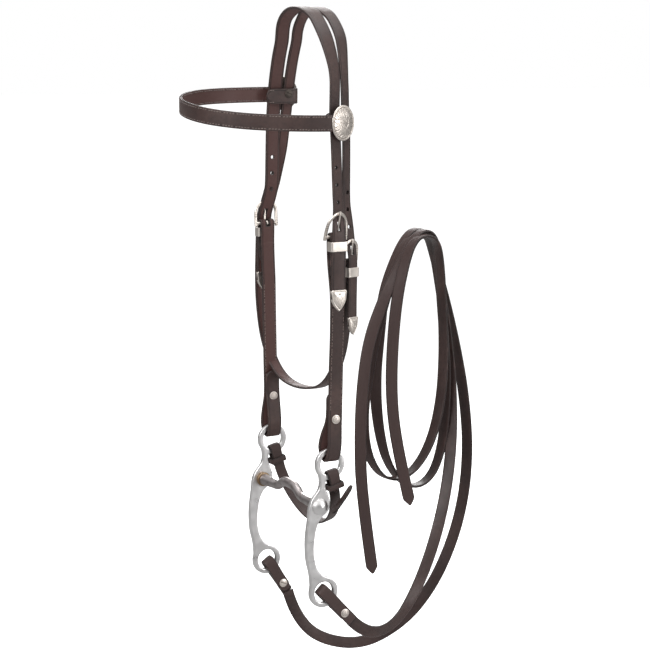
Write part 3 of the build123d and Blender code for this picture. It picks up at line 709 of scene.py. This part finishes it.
for name, side in SIDES.items():
    # The folded end is pushed forwards on the near side, and the main layer on the far side
    lean_in, lean_out = {"near": (-5.6, 0.0), "far": (-0.8, -4.6)}[name]
    shape = [(78.8, -272, 0), (80.3, -250, 0), (80.4, bar_z - 5, 0)]
    shape += [(o, z, 0) for o, z in arc(bar_out, bar_z, 3.5, 10, 170)]
    shape += [(73.6, bar_z - 5, 0), (74.6, -262, 0), (75.0, -290, 0), (74.6, -320, 0), (72.6, -382, 0),
              (71.4, -415, 0), (71.0, -430, lean_out * 0.7), (71.2, -441, lean_out), (70.8, LOW + 8, lean_out * 0.8),
              (69.8, LOW + 1.5, lean_out * 0.2), (66, LOW - 1.6, -0.3), (62.2, LOW + 1.5, lean_in * 0.2),
              (60.9, LOW + 8, lean_in * 0.7), (60.7, -443, lean_in), (62.4, -432, lean_in * 0.7),
              (66.2, -418, 0), (67.6, -405, 0), (67.5, -388, 0)]
    line = smooth([(FRONT_X + dx, side * o, z) for o, z, dx in shape], 1.3, 4)
    line[:, 0] = hung(name, line[:, 0], line[:, 2])
    thin = np.where(line[:, 2] > bar_z - 22, 2.6, LEATHER)
    strap = ribbon(f"cheek_strap_{name}", line, (-side, 0, 0), STRAP, thin, LEATHER_OUT, "headstall",
                   "headstall_leather", [f"cheekpiece_{name}"], start="round", end="round")
    cut_holes(strap, [((FRONT_X, side * bar_out, bar_z + 2), (4.2, 12, 10))])
    sewn = [(75.0, -292), (74.6, -320), (72.6, -382), (71.6, -408)]
    stretch = smooth([(FRONT_X, side * o, z) for o, z in sewn], 1.3, 3)
    stretch[:, 0] = hung(name, stretch[:, 0], stretch[:, 2])
    for label, face in (("cheek_stitching", 1), ("cheek_stitching_back", -1)):
        stitches(f"{label}_{name}", stretch, (-side, 0, 0), face * (LEATHER / 2 - 0.02))

# ---------------------------------------------------------------- throat latch
bar_out, bar_z = BUCKLES["throat"]["bar"]
shape = [(74.4, -279, REAR_X), (76.2, -264, REAR_X)]
shape += [(o, z, REAR_X) for o, z in arc(bar_out, bar_z, 3.5, 10, 170)]
shape += [(69.9, -263, REAR_X), (71.2, -284, REAR_X), (70, -315, 17), (63, -343, 16), (48, -369, 15),
          (27, -389, 14), (0, -397, 12), (-30, -399, 9.5), (-55, -394, 6.5), (-74, -379, 3.5), (-87, -353, 0.5),
          (-92.5, -316, -1.5), (-93.4, -285, -1.5), (-94.0, -262, -0.5), (-95.0, -243, 0.5), (-95.4, -225, 2),
          (-95.0, -190, 7)]
line = smooth([(x, -o, z) for o, z, x in shape], 1.5, 4)
strap = ribbon("throat_strap", line, (1, 0, 0), THROAT, 2.7, LEATHER_OUT, "headstall", "headstall_leather",
               ["throatlatch"], start="round", end="round")
cut_holes(strap, [((REAR_X, -bar_out, bar_z + 2), (4.2, 12, 10))])

# ---------------------------------------------------------------- browband, doubled and stitched
LEVEL = {"near": -118.3, "far": -92.6}


def brow_z(y):
    """The browband's height: straight from one side's level to the other's."""
    return LEVEL["near"] + (LEVEL["far"] - LEVEL["near"]) * min(1.0, max(0.0, (y + 76) / 152))


brow = [(-14, -65.2), (21.4, -65.2), (24, -66.7), (24.7, -70.1), (24, -73.5), (21.4, -75.2), (-24, -75.1), (-60, -70),
        (-92, -58.7), (-115, -39), (-126.6, -14), (-126.6, 14), (-115, 40), (-92, 58.5), (-60, 67.5), (-24, 70.8),
        (19, 70.9), (21.6, 69.4), (22.3, 65.7), (21.6, 62), (19, 60.5), (-14, 60.5)]
line = smooth([(x, y, brow_z(y)) for x, y in brow], 1.4, 4)
ribbon("browband_face", line, (0, 0, -1), STRAP, 1.7, LEATHER_OUT, "headstall", "headstall_leather", ["browband"],
       shift=0.72, start="round", end="round", crown=0.1)
ribbon("browband_lining", line, (0, 0, -1), STRAP - 0.3, 1.35, LEATHER_OUT, "headstall", "headstall_leather",
       shift=-0.78, start="round", end="round", crown=0.05)
for label, lift in (("browband_stitching", 1.50), ("browband_stitching_back", -1.42)):
    stitches(label, line, (0, 0, -1), lift, skip=lambda p: p[0] > -6)

# ---------------------------------------------------------------- conchos and their screws
CONCHO_R = 17.5
for name, side in SIDES.items():
    outer, inner = {"near": (75.1, 65.0), "far": (70.9, 60.4)}[name]
    x, z = {"near": 6.5, "far": 11.0}[name], LEVEL[name]
    back, cap = outer + 1.75, inner - 1.6
    face = medallion(circle(CONCHO_R, 224), dome(0.9, 3.5, 64, border=(0.925, 0.5, 0.035)), (x, side * back, z), side,
                     rosette(CONCHO_R), 0.34)
    plates(f"concho_face_{name}", [face], SILVER, "headstall", "nickel_silver", [f"concho_{name}"])
    # The back dish and the screw take the dark nickel of painted shade
    dish = medallion(circle(CONCHO_R - 0.25, 96), [(1.0, 0.25), (0.97, 0.35), (0.5, 0.45), (0, 0.5)],
                     (x, side * (back + 0.02), z), -side)
    plates(f"concho_back_{name}", [dish], NICKEL_PAINTED_SHADE, "headstall", "nickel_silver")
    head = medallion(circle(4.5, 48), dome(0.5, 0.9, 12), (x, side * cap, z), -side, slotted(4.5), 0.5)
    stem = post((x, side * (back + 0.4), z), (x, side * (cap + 0.5), z), 1.8)
    plates(f"concho_post_{name}", [head, stem], NICKEL_PAINTED_SHADE, "headstall", "screw_steel", [f"concho_screw_{name}"])

# ---------------------------------------------------------------- Chicago screws
def screw_head(at, facing, slot, rim, depth=0.3):
    relief = slotted(SCREW_R) if slot else starburst(SCREW_R)
    return medallion(circle(SCREW_R, 64), dome(rim, 0.9, 16), at, facing, relief, depth)


for label, x, z, side, low, high in (
        ("cheek_screw_near", FRONT_X + HANG["near"], -415, -1, 64.9, 73.5),
        ("cheek_screw_far", FRONT_X + HANG["far"], -415, 1, 64.9, 73.5),
        ("throat_screw_far", 5.2, -207, 1, 89.2, 96.8)):
    inside, outside = (x, side * low, z), (x, side * high, z)
    plates(f"{label}_set", [screw_head(outside, side, False, 0.5),
                            screw_head(inside, -side, label != "cheek_screw_far", 0.5, 0.4),
                            post(inside, outside, POST_R)], SCREW, "headstall", "screw_steel", [label])


# ---------------------------------------------------------------- bit
def cast_copy(label, source, material, body, slot, voxel, rounds):
    """A CAD node's solid with its edges worn round, as a cast and polished piece has."""
    piece = bpy.data.objects.new(label, source.data.copy())
    bpy.context.scene.collection.objects.link(piece)
    piece.data.materials.clear()
    bm = bmesh.new()
    bm.from_mesh(piece.data)
    bmesh.ops.remove_doubles(bm, verts=bm.verts, dist=1e-6)
    bm.to_mesh(piece.data)
    bm.free()
    mod = piece.modifiers.new("cast", "REMESH")
    mod.mode, mod.voxel_size, mod.use_smooth_shade = "VOXEL", voxel * MM, True
    mod = piece.modifiers.new("worn", "SMOOTH")
    mod.factor, mod.iterations = 0.5, rounds
    bpy.context.view_layer.update()
    dg = bpy.context.evaluated_depsgraph_get()
    done = bpy.data.meshes.new_from_object(piece.evaluated_get(dg), depsgraph=dg)
    piece.modifiers.clear()
    piece.data = done
    done.materials.clear()
    done.materials.append(material)
    done.polygons.foreach_set("use_smooth", [True] * len(done.polygons))
    finish_piece(piece, body, slot, [source.name])


for name in SIDES:
    cast_copy(f"bit_shank_{name}", nodes[f"bit_cheek_{name}"], STEEL, "bit_cheeks", "bit_steel", 0.55, 14)

# Y, height and radius of one half of the mouthpiece
port = [(-67, 0, 6.3), (-60, 0, 6.2), (-50, 0.2, 5.4), (-38, 0.4, 4.8), (-28, 0.8, 4.7), (-22, 3.2, 4.7),
        (-17, 7, 4.8), (-10, 9.2, 5.0), (0, 9.6, 5.0)]
port += [(-y, z, r) for y, z, r in port[-2::-1]]
line = smooth([(MOUTH[0], y, MOUTH[1] + z, r) for y, z, r in port], 0.9, 3)
bar_part = tube(line, line[:, 3], line[:, 3] * 0.96, (1, 0, 0), 32)
make("mouth_bar", *bar_part, IRON, "mouthpiece", "mouthpiece_iron", ["mouthpiece"])
for name, side in SIDES.items():
    collar, stub, head, plug = ((MOUTH[0], side * (CHEEK_OUT + out), MOUTH[1]) for out in (-2.8, -3.1, 2.75, 3.1))
    plates(f"mouth_head_{name}", [medallion(circle(8.4, 96), dome(1.0, 3.5, 30), head, side),
                                  post(stub, plug, 5.0, 40)], STEEL, "mouthpiece", "bit_steel")
    rings = [(1.0, 2.1), (0.97, 2.6), (0.86, 2.9), (0.7, 2.9), (0, 2.9)]
    plates(f"mouth_collar_{name}", [medallion(circle(7.6, 72), rings, collar, -side)], BROWNED, "mouthpiece",
           "mouthpiece_iron")

# ---------------------------------------------------------------- curb strap
EYE_HOLE, CURB = 11.2, (12.0, 2.5)
turn = math.sqrt(EYE_HOLE**2 - (CURB[0] / 2) ** 2) - 1.8
half_curb = [(20, 69.9), (turn + 2.0, 70.6), (turn, 68.8), (turn - 0.3, 66), (turn, 63.2), (turn + 2.0, 61.2),
             (18, 61.6), (27, 63.0), (39, 61.5), (55, 52), (69, 36), (77, 18)]
whole = ([in_ring(EYE, CURB_ANGLE, r, o, -1) for r, o in [(31, 66.0), (26, 68.0)] + half_curb]
         + [in_ring(EYE, CURB_ANGLE, 79, 0, -1)]
         + [in_ring(EYE, CURB_ANGLE, r, o, 1) for r, o in reversed([(33, 65.6), (27, 67.2)] + half_curb)])
line = smooth(whole, 1.2, 4)
ribbon("curb_band", line, along_width(CURB_ANGLE), *CURB, CURB_LEATHER, "curb", "headstall_leather",
       ["curb_strap"], start="point", end="round")
tail = smooth([(0.5, -66.5, -513), (4, -70.5, -508), (8.5, -73.5, -500), (13.5, -75.5, -492), (18, -76.5, -484.5)],
              1.2, 3)
ribbon("curb_tail", tail, (0.45, 0.8, 0.3), *CURB, CURB_LEATHER, "curb", "headstall_leather", start="round",
       end="round")
for name, side in SIDES.items():
    corners = [(60.1, 8.2), (71.1, 8.2), (71.1, -8.2), (60.1, -8.2)]
    loop = []
    for i, (o, w) in enumerate(corners):
        before, after = corners[i - 1], corners[(i + 1) % 4]
        for share in (0.28, 0.06):
            loop.append((o + (before[0] - o) * share, w + (before[1] - w) * share))
        for share in (0.06, 0.28):
            loop.append((o + (after[0] - o) * share, w + (after[1] - w) * share))
    loop = np.array([in_ring(EYE, CURB_ANGLE, 24.0, o, side, w) for o, w in loop + loop[:1]])
    loop = resample(loop, 0.9)[:-1]
    a = math.radians(CURB_ANGLE)
    radial = np.array([math.cos(a), 0, math.sin(a)]) * side
    ribbon(f"curb_loop_{name}", loop, radial, 6.0, 1.6, CURB_LEATHER, "curb", "headstall_leather",
           [f"curb_keeper_{name}"], closed=True)

# ---------------------------------------------------------------- rein loops and screws
for name, side in SIDES.items():
    turn = {"near": -4.0, "far": 2.0}[name]  # how far the slack loop reaches into its ring
    loop = [(48.5, CHEEK_OUT + 1.75), (30, CHEEK_OUT + 1.75), (22, 68.6), (15, 70.6), (turn + 1.5, 70.8),
            (turn - 0.2, 69), (turn - 0.7, 66), (turn - 0.2, 63), (turn + 1.5, 61.2), (15, 61.4), (22, 63.4),
            (30, CHEEK_OUT - 1.75), (44, CHEEK_OUT - 1.75)]
    line = smooth([in_ring(RING, LOOP_ANGLE[name], r, o, side) for r, o in loop], 1.2, 4)
    ribbon(f"rein_fold_{name}", line, -side * along_width(LOOP_ANGLE[name]), THROAT, LEATHER, REIN_LEATHER, "reins",
           "rein_leather", [f"rein_loop_{name}"], end="round")
    c = np.array(in_ring(RING, LOOP_ANGLE[name], 35, CHEEK_OUT, side))
    heads = [screw_head(c + (0, face * 3.45, 0), face, face * side < 0, 0.45) for face in (-1, 1)]
    plates(f"rein_screw_set_{name}", [*heads, post(c - (0, 3.6, 0), c + (0, 3.6, 0), POST_R)], SCREW, "reins",
           "screw_steel", [f"rein_screw_{name}"])

# ---------------------------------------------------------------- split reins
START, NEXT = ({name: in_ring(RING, LOOP_ANGLE[name], r, CHEEK_OUT, side) for name, side in SIDES.items()}
               for r in (48.05, 74.0))
FLAT, HALF, FACE, BEND = (0.73, 0, 0.68), (-0.55, 0.83, 0), (-0.87, 0.48, 0), (-0.12, 0.99, 0)
# Each row: X, Y, Z of the route and the way the strap's width lies there
ROUTES = {
    "near": [
        (*START["near"], FLAT), (*NEXT["near"], FLAT), (79, -56, -651, (0.1, 0.1, 1)),
        (113, -43, -625, (-0.6, 0.35, 0.72)), (141, -33, -582, (-0.72, 0.6, 0.3)),
        (164, -22, -530, (-0.66, 0.72, 0.1)), (179, -11, -473, (-0.6, 0.8, 0)), (185, 0, -412, HALF),
        (180, 3, -354, (-0.45, 0.89, 0)), (172, 4, -306, (-0.35, 0.93, 0)), (164, 4, -268, (-0.2, 0.98, 0)),
        (157, 4, -247, BEND), (142, 4, -240, BEND), (128, 4, -247, BEND), (118, 4, -268, (-0.3, 0.95, 0)),
        (105, 4, -300, (-0.6, 0.8, 0)), (92, 4, -340, FACE), (82, 4, -386, FACE), (74, 2, -432, (-0.7, 0.7, 0)),
        (77, -2, -475, (-0.4, 0.9, 0)), (97, -6, -505, BEND), (128, -8, -502, BEND),
        (152, -9, -472, (-0.3, 0.95, 0)), (165, -10, -425, (-0.4, 0.9, 0)), (167, -12, -370, (-0.4, 0.9, 0)),
        (164, -12, -314, (-0.3, 0.95, 0)), (161, -12, -270, (-0.2, 0.98, 0)), (156, -12, -247, BEND),
        (141, -12, -240, BEND), (127, -12, -247, BEND), (117, -12, -268, (-0.4, 0.9, 0)),
        (107, -13, -306, (-0.7, 0.7, 0)), (100, -16, -358, FACE), (98, -18, -413, FACE), (104, -21, -467, FACE),
        (119, -24, -530, FACE)],
    "far": [
        (*START["far"], FLAT), (24, 65.5, -662, (0.85, 0.1, 0.5)), (50, 60, -694, (0.6, 0.1, 0.78)),
        (101, 49, -707, (0, 0.1, 1)), (148, 38, -684, (-0.4, 0.3, 0.86)), (180, 31, -647, (-0.62, 0.5, 0.6)),
        (203, 25, -597, (-0.66, 0.66, 0.35)), (215, 19, -542, (-0.62, 0.75, 0.15)), (216, 14, -484, HALF),
        (209, 12, -426, HALF), (197, 12, -368, (-0.45, 0.89, 0)), (183, 12, -316, (-0.35, 0.93, 0)),
        (169, 12, -272, (-0.2, 0.98, 0)), (158, 10, -243, BEND), (144, 9, -235, BEND), (130, 10, -244, BEND),
        (118, 12, -269, (-0.35, 0.93, 0)), (105, 12, -304, (-0.6, 0.8, 0)), (100, 12, -348, FACE),
        (95, 12, -397, FACE), (97, 9, -447, (-0.6, 0.8, 0)), (107, 5, -492, (-0.3, 0.95, 0)),
        (131, 2, -520, BEND), (159, 0, -512, BEND), (173, -2, -474, (-0.3, 0.95, 0)),
        (175, -4, -425, (-0.4, 0.9, 0)), (173, -5, -370, (-0.4, 0.9, 0)), (167, -5, -315, (-0.3, 0.95, 0)),
        (164, -4, -271, (-0.2, 0.98, 0)), (158, -5, -244, BEND), (144, -6, -235, BEND), (131, -6, -244, BEND),
        (117, -5, -270, (-0.45, 0.89, 0)), (96, -4, -308, (-0.75, 0.66, 0)), (77, -6, -350, FACE),
        (68, -8, -402, FACE), (64, -11, -457, FACE), (65, -14, -518, FACE), (77, -17, -602, FACE)],
}


def nurbs(name, points):
    """Points along a smooth NURBS line that has these control points."""
    data = bpy.data.curves.new(name, "CURVE")
    data.dimensions = "3D"
    spline = data.splines.new("NURBS")
    spline.points.add(len(points) - 1)
    for target, p in zip(spline.points, points):
        target.co = (*(c * MM for c in p), 1)
    spline.order_u = 3
    spline.use_endpoint_u = True
    data.resolution_u = 16
    curve = bpy.data.objects.new(name, data)
    mesh = bpy.data.meshes.new_from_object(curve)
    line = np.array([v.co for v in mesh.vertices], float) / MM
    bpy.data.objects.remove(curve)
    bpy.data.meshes.remove(mesh)
    return line


for name, rows in ROUTES.items():
    line = nurbs(f"route_{name}", [r[:3] for r in rows])
    widths = np.array([r[3] for r in rows], float)
    at = np.linspace(0, len(rows) - 1, len(line))
    across = unit(np.column_stack([np.interp(at, np.arange(len(rows)), widths[:, k]) for k in range(3)]))
    both = resample(np.column_stack([line, across]), 2.0)
    print(f"rein {name}: {travelled(both)[-1] * MM:.3f} m")
    rein = ribbon(f"rein_strap_{name}", both[:, :3], both[:, 3:], THROAT, LEATHER, REIN_LEATHER, "reins",
                  "rein_leather", [f"rein_{name}"], end="point")
    tuple(placed(START[name], "reins"))
    [tuple(p) for p in placed(both[:, :3], "reins")]

# ---------------------------------------------------------------- stage, light and camera
floor = bpy.data.objects.new("floor", bpy.data.meshes.new("floor"))
floor.data.from_pydata([(x, y, FLOOR_Z) for x, y in ((-30, -30), (30, -30), (30, 30), (-30, 30))], [], [(0, 1, 2, 3)])
bpy.context.scene.collection.objects.link(floor)
FLOOR, _tree, _bsdf = shader("floor", 0.9, Specular_IOR_Level=0.1)
_bsdf.inputs["Base Color"].default_value = (0.93, 0.93, 0.93, 1)
_bsdf.inputs["Emission Color"].default_value = (1, 1, 1, 1)
_bsdf.inputs["Emission Strength"].default_value = 0.35
floor.data.materials.append(FLOOR)
floor.visible_glossy = False

world = bpy.data.worlds.new("studio")
bpy.context.scene.world = world
world.use_nodes = True
tree = world.node_tree
background = tree.nodes["Background"]
sky = node(tree, "ShaderNodeTexCoord").outputs["Generated"]
height = node(tree, "ShaderNodeSeparateXYZ", {"Vector": sky}).outputs["Z"]
shade = ramp(tree, plus(tree, times(tree, height, 0.5), 0.5),
             [(0.0, 0.52), (0.40, 0.42), (0.49, 0.22), (0.57, 0.25), (0.68, 0.62), (1.0, 1.1)])
seen = node(tree, "ShaderNodeLightPath").outputs["Is Camera Ray"]
tree.links.new(mix(tree, seen, shade, (1, 1, 1)), background.inputs["Color"])
background.inputs["Strength"].default_value = 1.0


def softbox(name, location, target, size, power):
    light = bpy.data.lights.new(name, "AREA")
    light.shape, light.size, light.size_y, light.energy = "RECTANGLE", *size, power
    lamp = bpy.data.objects.new(name, light)
    lamp.location = location
    lamp.rotation_euler = (Vector(target) - Vector(location)).to_track_quat("-Z", "Y").to_euler()
    bpy.context.scene.collection.objects.link(lamp)


softbox("key", (-1.9, -1.3, 0.9), (0, 0, -0.3), (0.9, 1.6), 42)
softbox("fill", (1.5, -1.9, 0.1), (0.05, 0, -0.35), (0.7, 1.5), 22)
softbox("top", (0.1, -0.1, 1.6), (0, 0, -0.3), (1.4, 1.4), 26)
softbox("rim", (0.9, 1.7, 0.5), (0.05, 0, -0.3), (0.8, 1.4), 22)

camera = bpy.data.objects.new("camera", bpy.data.cameras.new("camera"))
camera.location = (-0.8066, -1.5697, -0.0424)
camera.rotation_euler = (Vector((0.028, 0, -0.324)) - camera.location).to_track_quat("-Z", "Y").to_euler()
camera.data.lens, camera.data.sensor_width = 95.5, 36
bpy.context.scene.collection.objects.link(camera)
bpy.context.scene.camera = camera
bpy.context.scene.view_settings.view_transform = "Standard"
